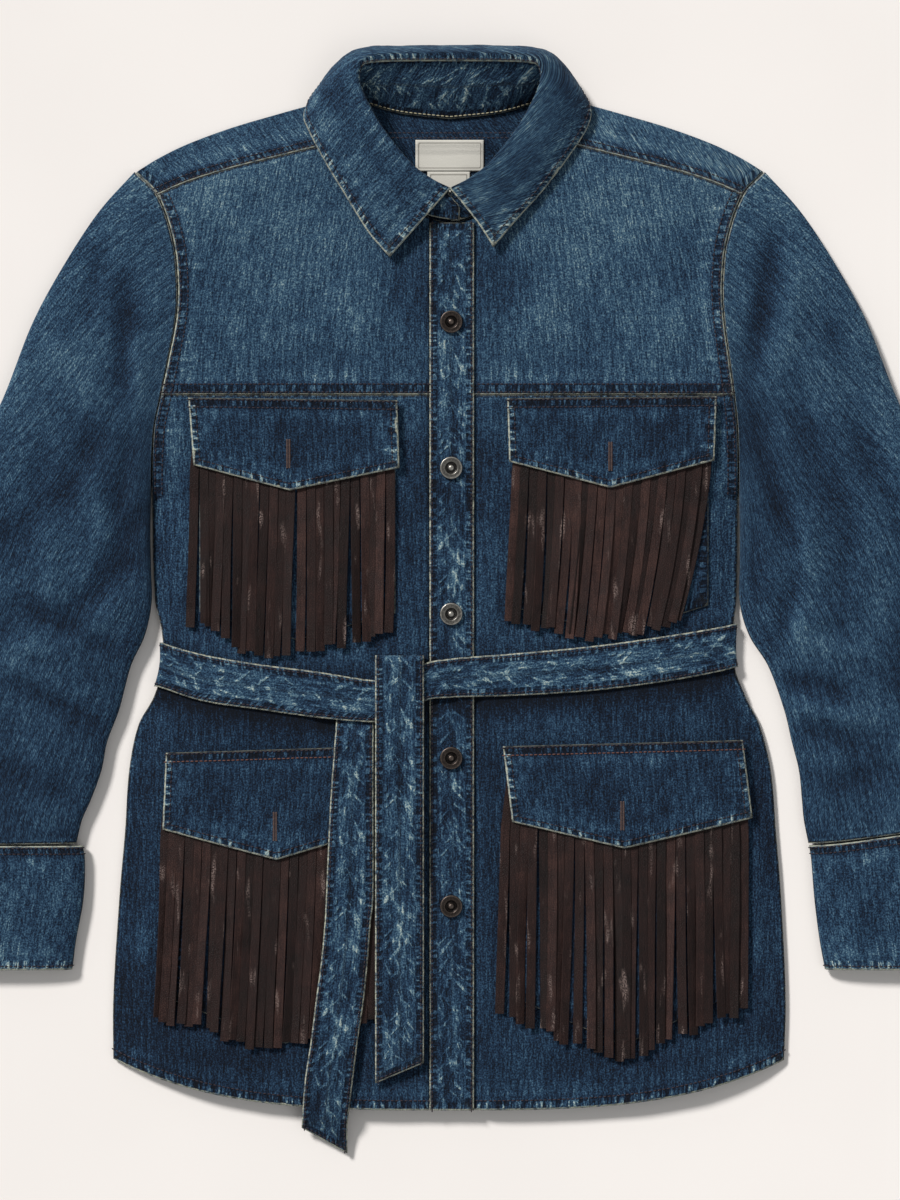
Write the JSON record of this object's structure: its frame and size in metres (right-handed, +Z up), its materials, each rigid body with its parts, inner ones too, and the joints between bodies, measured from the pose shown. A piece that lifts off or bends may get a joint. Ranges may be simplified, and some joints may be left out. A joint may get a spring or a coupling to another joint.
{
  "type": "denim fringe jacket",
  "caption": "Belted denim overshirt laid flat, with turned-down collar, buttoned placket, long cuffed sleeves and flap pockets that carry leather fringe.",
  "frame": {"origin": "centre of the bounding box on the surface the jacket lies on", "axes": "+Z up from the surface, out of the jacket's front; +Y from hem to collar; +X to the wearer's left"},
  "size_m": [0.8082, 0.8314, 0.0315],
  "materials": {
    "denim": "washed indigo twill, matte",
    "denim_dark": "less faded indigo twill, matte",
    "fringe_leather": "dark brown grained leather, soft sheen",
    "tack_metal": "antiqued, worn bright on the raised parts",
    "label_cloth": "woven, off-white"
  },
  "bodies": {
    "root": {"right_front_panel": "denim", "left_front_panel": "denim", "back_panel": "denim", "right_front_yoke": "denim", "left_front_yoke": "denim", "back_yoke": "denim", "placket": "denim", "right_sleeve": "denim", "left_sleeve": "denim", "right_cuff": "denim", "left_cuff": "denim", "right_chest_pocket": "denim", "left_chest_pocket": "denim", "right_lower_pocket": "denim", "left_lower_pocket": "denim", "right_chest_fringe": "fringe_leather", "left_chest_fringe": "fringe_leather", "right_lower_fringe": "fringe_leather", "left_lower_fringe": "fringe_leather", "right_chest_flap": "denim_dark", "left_chest_flap": "denim_dark", "right_lower_flap": "denim_dark", "left_lower_flap": "denim_dark", "belt_waist": "denim", "belt_end_over": "denim", "belt_end_under": "denim", "collar_stand": "denim", "collar_leaf": "denim", "button_1": "tack_metal", "button_2": "tack_metal", "button_3": "tack_metal", "button_4": "tack_metal", "button_5": "tack_metal", "label_main": "label_cloth", "label_size": "label_cloth"}
  },
  "joints": []
}
